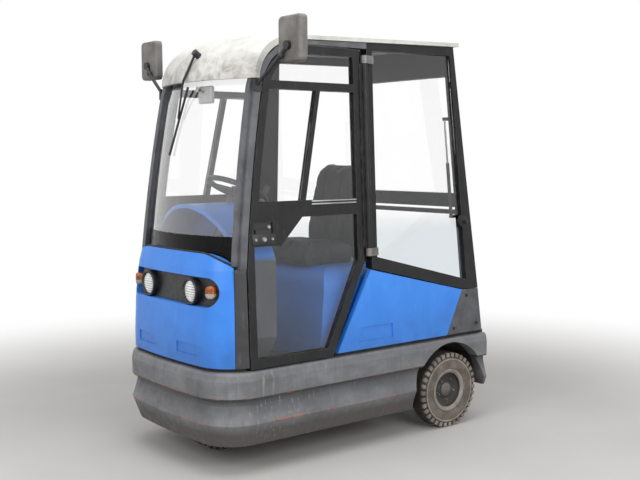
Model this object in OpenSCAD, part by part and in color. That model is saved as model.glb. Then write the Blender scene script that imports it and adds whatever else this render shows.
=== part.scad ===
// Three-wheel electric tow tractor with a full cab.
// Stations run forward from the rear axle, heights run up from the floor.

/* [Overall] */
// Length from the nose to the end of the tow jaw
overall_l = 1870; // [1840:5:1900]
// Width across the skirt
body_w = 1008; // [980:2:1040]
// Height of the roof's rear edge
roof_z = 2114; // [2090:2:2140]
// Distance between the front and rear axles
wheelbase = 1190; // [1170:5:1210]
// Distance from the rear axle back to the end of the tow jaw
rear_overhang = 350; // [345:1:360]
// Distance from the rear axle back to the body's rear wall
body_overhang = 285; // [280:1:292]

/* [Wheels] */
// Outer diameter of the tyres
tyre_d = 415; // [400:1:425]
// Width of a tyre
tyre_w = 108; // [96:1:116]
// Diameter of the rim's bead seat
rim_d = 206; // [200:1:220]
// How far a rear tyre stands inside the body side
wheel_inset = 14; // [8:1:20]
// Radius of the rear wheel arch
arch_r = 268; // [255:1:270]
// Radius of a wheel's stub axle
stub_r = 22; // [18:1:26]
// Radial running clearance of every shaft
run_gap = 0.06; // [0.03:0.01:0.09]

/* [Skirt] */
// Height of the skirt's lower edge
skirt_bottom = 138; // [120:1:150]
// Height of the lower rubbing edge
ledge_z = 247; // [235:1:260]
// Height of the upper band's lower edge
band_z = 374; // [360:1:385]
// Height of the skirt's top
skirt_top = 498; // [490:1:505]
// Depth of the hollow between the two rubbing edges
groove = 26; // [15:1:32]
// Thickness of the skirt wall
skirt_wall = 70; // [60:1:80]
// How far the lower edge is drawn in
toe_in = 40; // [25:1:50]
// Radius of the skirt's front corners in plan
nose_r = 213; // [200:1:225]
// Radius of the bowed front in plan
bow_r = 3480; // [3000:20:4000]

/* [Cab] */
// Height of the door sill and the panels' lower edge
panel_z = 515; // [510:1:520]
// Inward lean of the cab sides in degrees
lean = 2.3; // [1.5:0.1:3]
// How far the cab side stands inside the skirt at the sill
side_inset = 16; // [12:1:20]
// Distance from the nose back to the front edge of the doors
door_setback = 198; // [190:1:206]
// Station of the door's hinge axis
hinge_st = 575; // [565:1:585]
// Height where the front pillar starts to lean
knee_z = 977; // [960:1:990]
// Height where the front pillar bends into the roof
bend_z = 1832; // [1815:1:1845]
// Drop from the roof's rear edge to the top of the doors
door_drop = 76; // [72:1:82]
// Thickness of a door
door_t = 36; // [30:1:40]
// Gap round a door
door_gap = 6; // [5:0.5:8]
// Thickness of the side glass
glass_t = 5; // [4:0.5:6]
// Depth of the cab's side frames
frame_d = 50; // [44:1:56]
// Width of a front pillar
pillar_w = 56; // [48:1:62]
// Height of the cowl's top at the middle
cowl_top = 1045; // [1030:1:1060]
// Wall of the cowl
cowl_wall = 28; // [20:1:32]
// Plan radius of the windscreen at its foot
screen_r = 1000; // [900:10:1100]
// Thickness of the windscreen
screen_t = 6; // [5:0.5:8]
// Height of the windscreen's dark lower band
scuttle_z = 1126; // [1110:1:1140]
// Height of the belt rail's lower edge on the doors
belt_z = 1210; // [1200:1:1220]
// Depth of the belt rail on the doors
belt_h = 80; // [70:1:90]
// Height of the upper cross bar on the doors
divider_z = 1842; // [1835:1:1850]

/* [Front] */
// Distance of a headlamp from the middle
lamp_y = 203; // [195:1:215]
// Height of the headlamps
lamp_z = 862; // [855:1:870]
// Outer radius of a headlamp
lamp_r = 58; // [50:1:62]
// Height of the lamp recess
recess_h = 140; // [130:1:146]
// Half width of the lamp recess
recess_hw = 400; // [390:1:405]

/* [Inside] */
// Height of the floor's upper face
floor_z = 475; // [470:1:480]
// Thickness of the floor plate
floor_t = 25; // [20:1:28]
// Top of the seat hood
hood_z = 930; // [920:1:940]
// Half width of the seat hood
hood_hw = 405; // [390:1:410]
// Width of the seat
seat_w = 480; // [460:2:500]
// Radius of the steering wheel
wheel_r = 168; // [155:1:180]
// Tilt of the steering column in degrees
column_tilt = 25; // [20:1:30]
// Length of the battery
battery_l = 480; // [440:5:500]
// Width of the battery
battery_w = 600; // [560:5:620]
// Height of the battery
battery_h = 540; // [500:5:560]

/* [Rear] */
// Spacing of the tow jaw's plates
jaw_pitch = 55; // [50:1:60]
// Thickness of a tow jaw plate
jaw_t = 15; // [12:1:18]
// Radius of the free bores of the tow jaw
jaw_bore_r = 16.5; // [14:0.5:18]
// Radius of the tow pin
pin_r = 15; // [13:0.5:16]

/* [Mirrors] */
// Distance of a mirror's middle from the middle of the cab
mirror_y = 650; // [640:1:660]
// Height of a mirror's middle
mirror_z = 2030; // [2025:1:2045]
// Width of a mirror housing
mirror_w = 170; // [150:1:180]
// Height of a mirror housing
mirror_h = 210; // [200:1:214]

/* [Hidden] */
$fn = 48;

// Main stations
rear_axle_x = rear_overhang - overall_l / 2;
nose_st = overall_l - rear_overhang;
hw = body_w / 2;
axle_z = tyre_d / 2;
door_front = nose_st - door_setback;
door_top = roof_z - door_drop;
side_y = hw - side_inset;
rear_tyre_y = hw - wheel_inset - tyre_w / 2;
seat_clear = 0.3;

// Plan arcs of the nose: a wide bow between two corner arcs
nose_yc = hw - nose_r;
bow_x = nose_st - bow_r;
nose_xc = bow_x + sqrt(pow(bow_r - nose_r, 2) - pow(nose_yc, 2));
bow_a = asin(nose_yc / (bow_r - nose_r));
// Degrees by which the corner sweeps run into their neighbours
corner_lap = 1.5;
// Step by which the bowed front and the straight sides lie inside and below the corners
seam_step = 0.25;

// Side outline of the front pillar: a slow curve, then an arc into the roof
rake = 75;
rake_more = 43;
bend_a = atan((rake + 2 * rake_more) / (bend_z - knee_z));
curve_steps = 5;

function lean_u(z) = max(0, (z - knee_z) / (bend_z - knee_z));
function low_edge(z) = door_front - rake * lean_u(z) - rake_more * pow(lean_u(z), 2);
bend_x = low_edge(bend_z);
// Radius and centre of the arc that leaves the bend and ends level at height top
function bend_r(top) = (top - bend_z) / (1 - sin(bend_a));
function bend_cx(top, off) = bend_x + off - bend_r(top) * cos(bend_a);
function bend_pts(top, off) = [for (i = [0 : curve_steps])
    let (a = bend_a + (90 - bend_a) * i / curve_steps)
    [bend_cx(top, off) + bend_r(top) * cos(a), top - bend_r(top) + bend_r(top) * sin(a)]];
function rake_pts(z0, off) = [for (i = [0 : curve_steps - 1])
    let (z = z0 + (bend_z - z0) * i / curve_steps) [low_edge(z) + off, z]];
// Whole front outline from height z0 up to the level top
function front_pts(z0, top, off) = concat(rake_pts(z0, off), bend_pts(top, off));
// Front edge of the door itself at height z, moved by off
door_r = bend_r(door_top);
function edge_x(z, off) = z < bend_z ? low_edge(z) + off
    : bend_cx(door_top, 0) + sqrt(pow(door_r + off, 2) - pow(z - door_top + door_r, 2));
function edge_pts(z0, z1, off) = [for (i = [0 : curve_steps])
    let (z = z0 + (z1 - z0) * i / curve_steps) [edge_x(z, off), z]];
function reversed(p) = [for (i = [len(p) - 1 : -1 : 0]) p[i]];

// Plan centre of the windscreen and its radius at height z
screen_set = 84;
screen_cx = nose_st - screen_set - screen_r + rake * lean_u(scuttle_z);
function screen_at(z) = screen_r - (low_edge(knee_z) - edge_x(z, 0));

// Roof line: it falls from the rear edge to where the visor begins
roof_t = 20;
roof_fall = 34;
roof_rear = -118;
visor_r = 700;
roof_front = screen_cx + visor_r;
function frame_top(x) = roof_z - roof_t - roof_fall * (x - roof_rear) / (roof_front - roof_rear);

// Colours
blue = "#2f73c9";
black = "#26282b";
grey = "#74777b";
pale = "#b9bab7";
rubber = "#2b2b2c";
clear = [0.75, 0.82, 0.85, 0.35];

// Placing helpers

// Puts what is drawn by stations into the part's frame
module at_axle() {
    translate([rear_axle_x, 0, 0]) children();
}

// Repeats what is drawn on the left on both sides
module both_sides() {
    children();
    mirror([0, 1, 0]) children();
}

// Lays a station and height outline into the leaning left cab side, out from its outer face
module in_side(depth, out = 0) {
    translate([0, side_y, skirt_top]) rotate([lean, 0, 0]) translate([0, out, -skirt_top])
        rotate([90, 0, 0]) linear_extrude(depth) children();
}

// Puts solids drawn about the plane Y = 0 into the leaning left cab side
module on_side() {
    translate([0, side_y, skirt_top]) rotate([lean, 0, 0]) translate([0, 0, -skirt_top]) children();
}

// Runs a station and height outline across the cab
module across(width) {
    translate([0, width / 2, 0]) rotate([90, 0, 0]) linear_extrude(width) children();
}

// Runs a width and height outline along the cab
module along(x0, x1) {
    translate([x0, 0, 0]) rotate([90, 0, 90]) linear_extrude(x1 - x0) children();
}

// Round bar between two points
module bar(a, b, r) {
    d = b - a;
    translate(a) rotate([0, acos(d[2] / norm(d)), atan2(d[1], d[0])]) cylinder(h = norm(d), r = r);
}

// Sweeps an outline of outward offset and height round one front corner
module corner_sweep(a0, a1) {
    translate([nose_xc, nose_yc, 0]) rotate([0, 0, a0])
        rotate_extrude(angle = a1 - a0, $fn = 96) translate([nose_r, 0]) children();
}

// Sweeps such an outline across the bowed front
module bow_sweep() {
    translate([bow_x, 0, 0]) rotate([0, 0, -bow_a])
        rotate_extrude(angle = 2 * bow_a, $fn = 360) translate([bow_r - seam_step, -seam_step]) children();
}

// Sweeps such an outline round the whole nose, to angle a1 on both corners
module nose_sweep(a1) {
    bow_sweep() children();
    both_sides() corner_sweep(bow_a - corner_lap, a1) children();
}

// Runs such an outline along the left side between two stations
module side_run(x0, x1) {
    translate([x0, hw - seam_step, -seam_step]) rotate([90, 0, 90]) linear_extrude(x1 - x0) children();
}

// Flat plan of the nose, moved in by inset, back to station x0
module nose_plan(x0, inset) {
    union() {
        translate([x0, -hw + inset]) square([nose_xc - x0, body_w - 2 * inset]);
        translate([x0, -nose_yc]) square([nose_xc - x0 + 1, 2 * nose_yc]);
        intersection() {
            translate([bow_x, 0]) circle(r = bow_r - inset, $fn = 360);
            translate([nose_xc - 1, -nose_yc]) square([nose_r * 2, 2 * nose_yc]);
        }
        for (s = [-1, 1]) translate([nose_xc, s * nose_yc]) circle(r = nose_r - inset, $fn = 96);
    }
}

// Body of revolution about the windscreen's centre
module screen_turn(half_angle) {
    translate([screen_cx, 0, 0]) rotate([0, 0, -half_angle])
        rotate_extrude(angle = 2 * half_angle, $fn = 240) children();
}

// Space between the two leaning cab sides, moved in by inset
module between_sides(inset, z0, z1, x0, x1) {
    y0 = side_y - inset - (z0 - skirt_top) * tan(lean);
    y1 = side_y - inset - (z1 - skirt_top) * tan(lean);
    along(x0, x1) polygon([[-y0, z0], [y0, z0], [y1, z1], [-y1, z1]]);
}

// Chassis

skirt_round = 24;
module skirt_outline() {
    polygon([[-skirt_wall, skirt_bottom], [-toe_in, skirt_bottom], [-3, ledge_z - 9], [0, ledge_z],
        [-groove, ledge_z + 0.7 * (band_z - ledge_z)], [-groove, band_z - 10], [-3, band_z - 6],
        [0, band_z], [0, skirt_top - 1.8 * skirt_round], [-0.25 * skirt_round, skirt_top - 0.6 * skirt_round],
        [-0.6 * skirt_round, skirt_top - 0.15 * skirt_round], [-skirt_round, skirt_top],
        [-skirt_wall, skirt_top]]);
}

fender_z = 200;
arch_in = 20;
rear_plate_t = 22;
module chassis_skirt() {
    color(grey) at_axle() difference() {
        union() {
            nose_sweep(90 + corner_lap) skirt_outline();
            both_sides() side_run(-body_overhang, nose_xc) skirt_outline();
            translate([-body_overhang, -hw + skirt_wall, fender_z])
                cube([rear_plate_t, body_w - 2 * skirt_wall, skirt_top - fender_z]);
        }
        both_sides() translate([0, hw - skirt_wall - arch_in, axle_z]) rotate([-90, 0, 0])
            cylinder(h = skirt_wall + 2 * arch_in, r = arch_r, $fn = 96);
        // behind the wheels the fender ends above the floor
        translate([-body_overhang - 1, -hw, 0]) cube([body_overhang, body_w, fender_z]);
    }
}

king_r = 26;
king_top = 540;
king_boss_r = 48;
tray_t = 8;
battery_st = 555;
battery_z = 175;
module floor_pan() {
    floor_under = floor_z - floor_t;
    tray_gap = 4;
    color(black) at_axle() difference() {
        union() {
            translate([0, 0, floor_under]) linear_extrude(floor_t)
                difference() {
                    nose_plan(rear_plate_t - body_overhang, skirt_wall + seam_step + seat_clear);
                    translate([wheelbase, 0]) circle(r = king_r + run_gap);
                }
            translate([wheelbase, 0, floor_z]) cylinder(h = king_top - floor_z - 12, r = king_boss_r);
            translate([battery_st - battery_l / 2 - tray_gap - tray_t, -battery_w / 2 - tray_gap - tray_t,
                battery_z - tray_t])
                cube([battery_l + 2 * (tray_gap + tray_t), battery_w + 2 * (tray_gap + tray_t),
                    floor_z - battery_z + tray_t]);
        }
        translate([battery_st - battery_l / 2 - tray_gap, -battery_w / 2 - tray_gap, battery_z])
            cube([battery_l + 2 * tray_gap, battery_w + 2 * tray_gap, battery_h]);
        translate([wheelbase, 0, floor_under]) cylinder(h = king_top, r = king_r + run_gap);
    }
}

trim_in = 36;
trim_end = 76;
sill_front = 797;
module sill_trim() {
    color(rubber) at_axle() {
        nose_sweep(trim_end) trim_outline();
        both_sides() side_run(-body_overhang, sill_front) trim_outline();
    }
}

module trim_outline() {
    low = skirt_top + seat_clear;
    translate([-skirt_wall, low]) square([skirt_wall - trim_in, panel_z - low]);
}

module battery_block() {
    color("#3a3d40") at_axle()
        translate([battery_st - battery_l / 2, -battery_w / 2, battery_z])
            cube([battery_l, battery_w, battery_h]);
}

motor_r = 98;
motor_l = 150;
axle_tube_r = 42;
hub_face = 24;
module rear_axle() {
    tube_end = rear_tyre_y - hub_face - 26;
    color("#3c3f42") at_axle() {
        translate([0, 0, axle_z]) rotate([90, 0, 0]) {
            cylinder(h = 2 * tube_end, r = axle_tube_r, center = true);
            for (s = [-1, 1]) translate([0, 0, s * (motor_l / 2 + 70)])
                cylinder(h = motor_l, r = motor_r, center = true);
            cylinder(h = 2 * (rear_tyre_y + hub_face + 4), r = stub_r, center = true);
            for (s = [-1, 1]) translate([0, 0, s * (tube_end - 8)]) cylinder(h = 16, r = 70, center = true);
        }
        for (s = [-1, 1]) translate([-45, s * 250 - 8, axle_z])
            cube([90, 16, floor_z - floor_t - axle_z]);
    }
}

// Front end

cowl_low = panel_z + seat_clear;
function cowl_line(wall) = [[-20 - wall, cowl_low], [-20 - wall, panel_z + 90],
    [-27 - wall, 770], [-36 - wall, 880], [-50 - wall, 970], [-66 - wall, 1030], [-76 - wall, 1060]];
cowl_deep = 165;
cowl_end = 60;
module cowl_outline(wall, deep) {
    line = cowl_line(wall);
    polygon(concat([[-deep, line[0][1]]], line, [[-deep, line[6][1]]]));
}

cowl_flat = 250;
cowl_roll = 292;
// Arched front outline that trims the cowl's top
module cowl_arch(z) {
    along(nose_st - 300, nose_st + 10) union() {
        translate([-cowl_flat, 0]) square([2 * cowl_flat, z]);
        for (s = [-1, 1]) translate([s * cowl_flat, z - cowl_roll]) circle(r = cowl_roll, $fn = 120);
        translate([-hw, 0]) square([body_w, z - cowl_roll]);
    }
}

// Swept cowl body, moved in by wall, with its open ends carried on by more
module cowl_form(wall, more) {
    intersection() {
        nose_sweep(cowl_end + more / 10) cowl_outline(wall, cowl_deep + more);
        cowl_arch(cowl_top - wall);
    }
}

// Long slot with round ends, seen from the front
module slot_face(half, h) {
    union() {
        square([2 * (half - h / 2), h], center = true);
        for (s = [-1, 1]) translate([s * (half - h / 2), 0]) circle(r = h / 2);
    }
}

hollow_depth = 5;
hollow_z = 562;
hollow_h = 52;
hollow_y = 105;
hollow_w = 182;
module front_cowl() {
    color(blue) at_axle() difference() {
        cowl_form(0, 0);
        translate([0, 0, -1.5]) cowl_form(cowl_wall, 20);
        // seat of the windscreen band
        screen_turn(40) polygon(concat([[0, 960], [screen_r + 1, 960]],
            [for (z = [knee_z : 20 : 1080]) [screen_at(z) + 1, z]], [[0, 1080]]));
        along(nose_st - 250, nose_st + 10) translate([0, lamp_z + 4]) slot_face(recess_hw, recess_h);
        // shallow blank panel low on each side of the front
        intersection() {
            bow_sweep() translate([-20 - hollow_depth, hollow_z]) square([60, hollow_h]);
            both_sides() translate([0, hollow_y, 0]) cube([nose_st + 50, hollow_w, cowl_top]);
        }
    }
}

panel_t = 14;
panel_over = 22;
module lamp_panel() {
    z0 = lamp_z + 4 - recess_h / 2 - panel_over;
    z1 = lamp_z + 4 + recess_h / 2 + panel_over;
    color("#1c1d1f") at_axle() difference() {
        nose_sweep(cowl_end) lamp_strip(z0, z1);
        both_sides() translate([0, lamp_y, lamp_z]) rotate([0, 90, 0]) cylinder(h = nose_st, r = lamp_r);
        both_sides() signal_place() signal_block(0);
    }
}

// Height on the cowl's inner face, from its outline
function cowl_in(z, wall) = -wall - lookup(z, [for (p = cowl_line(0)) [p[1], -p[0]]]);
module lamp_strip(z0, z1) {
    knots = concat([z0], [for (p = cowl_line(0)) if (p[1] > z0 && p[1] < z1) p[1]], [z1]);
    polygon(concat([for (z = knots) [cowl_in(z, cowl_wall) - seat_clear, z]],
        reversed([for (z = knots) [cowl_in(z, cowl_wall) - panel_t, z]])));
}

lamp_depth = 62;
lamp_front = 46;
module headlamp_shells() {
    color("#17181a") at_axle() both_sides()
        translate([nose_st - lamp_front - lamp_depth, lamp_y, lamp_z]) rotate([0, 90, 0])
            rotate_extrude() polygon([[0, 0], [lamp_r - 16, 0], [lamp_r - 0.1, 22], [lamp_r - 0.1, lamp_depth],
                [lamp_r - 7, lamp_depth], [lamp_r - 7, lamp_depth - 14], [0, lamp_depth - 26]]);
}

module headlamp_lenses() {
    color("#e9ecec") at_axle() both_sides()
        translate([nose_st - lamp_front, lamp_y, lamp_z]) rotate([0, 90, 0])
            rotate_extrude() polygon([[0, -8], [lamp_r - 7.2, -8], [lamp_r - 7.2, 0], [lamp_r - 16, 5],
                [lamp_r - 32, 9], [0, 11]]);
}

signal_y = 338;
signal_w = 50;
signal_h = 62;
module signal_place() {
    translate([nose_st - 88, signal_y, lamp_z + 8]) rotate([0, 0, 32]) children();
}
module signal_block(shrink) {
    translate([0, shrink - signal_w / 2, shrink - signal_h / 2])
        cube([52, signal_w - 2 * shrink, signal_h - 2 * shrink]);
}
module turn_signals() {
    color("#d9741c") at_axle() both_sides() signal_place() signal_block(0.2);
}

band_t = 18;
band_foot = knee_z;
screen_in = frame_d + 0.5;
module screen_band() {
    color("#151617") at_axle() intersection() {
        screen_turn(40) screen_strip(band_foot, scuttle_z, band_t);
        between_sides(screen_in, band_foot - 1, scuttle_z + 1, screen_cx, nose_st);
    }
}

screen_top = 1905;
module windscreen() {
    color(clear) at_axle() intersection() {
        screen_turn(40) screen_strip(scuttle_z, screen_top, screen_t);
        between_sides(screen_in, scuttle_z - 1, screen_top + 1, screen_cx, nose_st);
    }
}

// Thin upright strip that follows the windscreen's side outline
module screen_strip(z0, z1, t) {
    steps = 6;
    zs = [for (i = [0 : steps]) z0 + (z1 - z0) * i / steps];
    polygon(concat([for (z = zs) [screen_at(z), z]], reversed([for (z = zs) [screen_at(z) - t, z]])));
}

// Cab frame

post_a0 = 60.5;
post_t = 40;
module front_pillars() {
    rail_top = frame_top(roof_front);
    step_w = 20;
    step_d = 20;
    step_z = knee_z + 18;
    color(black) at_axle() both_sides() {
        // lower post on the corner
        intersection() {
            corner_sweep(post_a0, 90) post_outline();
            translate([door_front + door_gap, 0, 0]) cube([300, hw, roof_z]);
        }
        // upper pillar with a step along its front, bent into the roof rail and cut for the visor
        difference() {
            union() {
                in_side(frame_d) polygon(concat(front_pts(knee_z, door_top + door_gap, door_gap),
                    [[hinge_post, door_top + door_gap], [hinge_post, frame_top(hinge_post)]],
                    reversed(front_pts(knee_z, rail_top, door_gap + pillar_w - step_w))));
                in_side(frame_d - step_d, -step_d) polygon(concat(
                    front_pts(step_z, rail_top, door_gap + pillar_w - step_w),
                    reversed(front_pts(step_z, rail_top, door_gap + pillar_w))));
            }
            screen_turn(60) visor_outline(roof_z - roof_fall);
        }
    }
}

function side_dx(z) = -side_inset - (z - skirt_top) * tan(lean);
module post_outline() {
    polygon([[side_dx(cowl_low) - post_t, cowl_low], [side_dx(cowl_low), cowl_low],
        [side_dx(knee_z), knee_z], [side_dx(knee_z) - post_t, knee_z]]);
}

// Outline stations of the fixed cab side behind the door
hinge_post = 552;
post_width = 37;
window_front = 515;
rear_top = -78;
rear_mid = -161;
rear_low = -234;
rail_low_front = 925;
rail_low_rear = 763;
window_low_front = 982;
window_low_rear = 813;
window_rear_low = -143;
window_rear_top = -51;
module window_hole() {
    polygon([[window_front, window_low_front], [window_rear_low, window_low_rear],
        [window_rear_top, frame_top(window_rear_top) - 48], [window_front, frame_top(window_front) - 42]]);
}

module side_frames() {
    color(black) at_axle() both_sides() {
        in_side(frame_d) difference() {
            polygon([[hinge_post, rail_low_front], [-104, rail_low_rear], [rear_low, rail_low_rear - 6],
                [rear_mid, 1365], [rear_top, frame_top(rear_top)], [hinge_post, frame_top(hinge_post)]]);
            window_hole();
        }
        // inner stop flange behind the door's rear edge
        in_side(12, -door_t - door_gap) polygon([[hinge_post - 1, 960], [hinge_post + 80, 960],
            [hinge_post + 80, door_top], [hinge_post - 1, door_top]]);
    }
}

module quarter_glass() {
    color(clear) at_axle() both_sides() in_side(glass_t, -14) window_hole();
}

wall_t = 30;
panel_low = panel_z + 1.5;
panel_hollow = [[658, 555], [423, 555], [423, 630], [640, 630]];
module side_panels() {
    color(blue) at_axle() both_sides() difference() {
        in_side(wall_t, 2) polygon([[sill_front, panel_low], [563, rail_low_front - 6], [-104, rail_low_rear - 5], [21, panel_low]]);
        in_side(8, 4) polygon(panel_hollow);
    }
}

module rear_corners() {
    color("#303236") at_axle() both_sides() in_side(wall_t)
        polygon([[17, panel_low], [-108, rail_low_rear - 5], [rear_low, rail_low_rear - 8], [-258, panel_low]]);
}

side_in = frame_d + seat_clear;
module rear_header() {
    color("#3b3d41") at_axle() intersection() {
        across(body_w) polygon([[-40, 1932], [-92, 1932], [rear_top - 4, frame_top(rear_top)], [-30, frame_top(-30)]]);
        between_sides(side_in, 1900, 2150, -200, 0);
    }
}

module rear_rails() {
    color(black) at_axle() intersection() {
        union() {
            across(body_w) polygon([[-128, 1212], [-172, 1212], [-164, 1290], [-120, 1290]]);
            across(body_w) polygon([[-136, 1172], [-176, 1172], [-174, 1196], [-134, 1196]]);
        }
        between_sides(side_in, 1100, 1350, -250, 0);
    }
}

module rear_wall() {
    color("#303236") at_axle() intersection() {
        across(body_w) polygon([[-250 + wall_t, panel_z], [-255, panel_z], [-222, 800], [-222 + wall_t, 800]]);
        between_sides(side_in, 500, 850, -300, 0);
    }
}

module rear_glass() {
    color(clear) at_axle() intersection() {
        union() {
            across(body_w) polygon([[-142, 1290], [-147, 1290], [-69, 1932], [-64, 1932]]);
            across(body_w) polygon([[-207, 800], [-212, 800], [-158, 1172], [-153, 1172]]);
        }
        between_sides(side_in, 700, 2000, -300, 0);
    }
}

// Roof

visor_round = 210;
visor_z = 1868;
roof_out = 6;
module roof_shell() {
    front_z = roof_z - roof_fall;
    color(pale) at_axle() intersection() {
        union() {
            // top plate that falls towards the front
            difference() {
                across(body_w) polygon([[roof_rear, roof_z - roof_t], [roof_rear, roof_z], [roof_front, front_z],
                    [roof_front, front_z - roof_t]]);
                screen_turn(60) translate([visor_r, 0]) square([400, 3000]);
            }
            screen_turn(60) visor_outline(front_z);
        }
        between_sides(-roof_out, 1800, 2160, -200, nose_st);
    }
}

module visor_outline(top) {
    difference() {
        intersection() {
            translate([visor_r, top - visor_round]) circle(r = visor_round);
            translate([visor_r - 20, visor_z]) square([400, 400]);
        }
        translate([visor_r - roof_t, top - visor_round - roof_t]) circle(r = visor_round);
    }
}

// Point off the windscreen's outer face at width y and height z
function screen_pt(y, z, off) = [screen_cx + sqrt(pow(screen_at(z) + off, 2) - y * y), y, z];

wiper_y = 60;
wiper_rise = 35;
module wiper() {
    reach = visor_r + visor_round * cos(wiper_rise);
    turn = asin(wiper_y / reach);
    normal = [cos(wiper_rise) * cos(turn), cos(wiper_rise) * sin(turn), sin(wiper_rise)];
    seat = [screen_cx + sqrt(reach * reach - wiper_y * wiper_y), wiper_y,
        roof_z - roof_fall - visor_round + visor_round * sin(wiper_rise)];
    tip = seat + 34 * normal;
    elbow = [screen_cx + visor_r + visor_round + 16, wiper_y - 60, visor_z];
    shoe = screen_pt(-60, 1690, 16);
    color("#1a1b1c") at_axle() {
        bar(seat + 0.5 * normal, tip, 17);
        bar(tip - 10 * normal, elbow, 6);
        bar(elbow, shoe, 5);
        bar(screen_pt(-10, 1845, 12), screen_pt(-118, 1510, 12), 6);
    }
}

// Inside

module hood_side(inset) {
    front = 850 - inset;
    top = hood_z - inset;
    rear = -175 + inset;
    bend = 110;
    union() {
        polygon([[front, floor_z], [front - 30, top - bend], [front - 30 - bend, top - bend], [260, top - bend],
            [rear + 40, 700 - inset], [rear, floor_z]]);
        translate([front - 30 - bend, top - bend]) circle(r = bend);
        polygon([[front - 30 - bend, top], [260, top], [-140 + inset, 750 - inset], [rear, 690 - inset],
            [260, 600], [front - 30 - bend, 600]]);
    }
}

module hood_front(inset) {
    r = 120 - inset;
    union() {
        translate([-hood_hw + inset, floor_z]) square([2 * (hood_hw - inset), hood_z - inset - r - floor_z]);
        translate([-hood_hw + 120, floor_z]) square([2 * (hood_hw - 120), hood_z - inset - floor_z]);
        for (s = [-1, 1]) translate([s * (hood_hw - 120), hood_z - 120]) circle(r = r);
    }
}

hood_wall = 18;
module seat_hood() {
    color(blue) at_axle() difference() {
        intersection() {
            across(body_w) hood_side(0);
            along(-260, 900) hood_front(0);
        }
        translate([0, 0, -1]) intersection() {
            across(body_w) hood_side(hood_wall);
            along(-260, 900) hood_front(hood_wall);
        }
    }
}

seat_back_st = 330;
cushion_h = 115;
module seat_cushion() {
    color("#232427") at_axle() across(seat_w)
        polygon([[seat_back_st + 128, hood_z], [800, hood_z], [822, hood_z + 40], [800, hood_z + cushion_h],
            [seat_back_st + 128, hood_z + cushion_h - 18]]);
}

module seat_back() {
    top = hood_z + 570;
    color("#232427") at_axle() across(seat_w)
        polygon([[seat_back_st, hood_z], [seat_back_st + 127, hood_z], [seat_back_st + 118, hood_z + 200],
            [seat_back_st + 66, top - 40], [seat_back_st + 30, top], [seat_back_st - 28, top], [seat_back_st - 62, top - 60],
            [seat_back_st - 30, hood_z + 200]]);
}

console_r = 450;
console_top = 1268;
console_rear = 1118;
console_front = 1372;
console_wall = 18;
module console_face(inset) {
    intersection() {
        translate([0, console_top - console_r]) circle(r = console_r - inset, $fn = 120);
        translate([-410 + inset, floor_z]) square([820 - 2 * inset, 900]);
    }
}

module dash_console() {
    color(blue) at_axle() difference() {
        intersection() {
            along(console_rear, console_front) console_face(0);
            screen_turn(50) polygon(concat([[300, floor_z]], [[screen_at(knee_z) - 46, floor_z]],
                [for (z = [knee_z : 75 : 1280]) [screen_at(z) - 46, z]], [[300, 1280]]));
        }
        along(console_rear + console_wall, console_front + 1) translate([0, -2]) console_face(console_wall);
        column_place() translate([0, 0, -260]) cylinder(h = 220, r = column_r);
    }
}

column_r = 36;
wheel_st = 1062;
wheel_z = 1330;
module column_place() {
    translate([wheel_st, 0, wheel_z]) rotate([0, -column_tilt, 0]) children();
}
module steering_column() {
    color(black) at_axle() column_place() {
        translate([0, 0, -300]) cylinder(h = 300 - 42, r = column_r - 0.1);
        translate([0, 0, -44]) cylinder(h = 60, r = 9);
    }
}

rim_bar_r = 14;
module steering_wheel() {
    color("#1d1e20") at_axle() column_place() difference() {
        union() {
            rotate_extrude($fn = 96) translate([wheel_r - rim_bar_r, 0]) circle(r = rim_bar_r, $fn = 24);
            translate([0, 0, -36]) cylinder(h = 44, r = 34);
            for (a = [60, 180, 300]) rotate([0, 0, a]) translate([0, -15, -8]) cube([wheel_r - rim_bar_r, 30, 10]);
            rotate([0, 0, 120]) translate([wheel_r - rim_bar_r, 0, 0]) cylinder(h = 58, r = 16);
        }
        translate([0, 0, -37]) cylinder(h = 50, r = 9 + run_gap);
    }
}

module pedals() {
    color("#2c2d2f") at_axle() for (y = [-150, 40]) translate([1000, y, floor_z]) {
        translate([0, -45, 0]) cube([110, 90, 12]);
        translate([60, -30, 12]) rotate([0, -28, 0]) translate([0, 0, -4]) cube([14, 60, 120]);
    }
}

// Rear

jaw_plates = 5;
jaw_low = 217.5;
jaw_w = 130;
jaw_axis = -315;
module tow_jaw() {
    color("#2a2b2d") at_axle() difference() {
        union() {
            translate([-body_overhang - 8, -jaw_w / 2, jaw_low - jaw_t / 2])
                cube([8, jaw_w, jaw_pitch * (jaw_plates - 1) + jaw_t]);
            for (i = [0 : jaw_plates - 1]) translate([0, 0, jaw_low + i * jaw_pitch]) linear_extrude(jaw_t, center = true)
                intersection() {
                    translate([-rear_overhang, -jaw_w / 2]) square([rear_overhang - body_overhang, jaw_w]);
                    translate([-rear_overhang + jaw_w * 0.6, 0]) circle(r = jaw_w * 0.6);
                }
        }
        translate([jaw_axis, 0, 0]) cylinder(h = jaw_low + 2.5 * jaw_pitch, r = jaw_bore_r);
        translate([jaw_axis, 0, 0]) cylinder(h = jaw_low + 6 * jaw_pitch, r = pin_r + run_gap);
    }
}

module tow_pin() {
    top = jaw_low + (jaw_plates - 1) * jaw_pitch + jaw_t / 2;
    color("#8a8c8e") at_axle() translate([jaw_axis, 0, 0]) {
        translate([0, 0, top - jaw_pitch - jaw_t]) cylinder(h = jaw_pitch + jaw_t, r = pin_r);
        translate([0, 0, top]) cylinder(h = 14, r = pin_r + 8);
        translate([0, 0, top + 14]) cylinder(h = 40, r = 8);
        translate([0, 0, top + 60]) rotate([90, 0, 0]) rotate_extrude() translate([20, 0]) circle(r = 6, $fn = 24);
    }
}

rear_lamp = [26, 90, 110];
module rear_lamps() {
    color("#b3261e") at_axle() both_sides()
        translate([-body_overhang - rear_lamp[0], 330, 370]) cube(rear_lamp);
}

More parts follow.
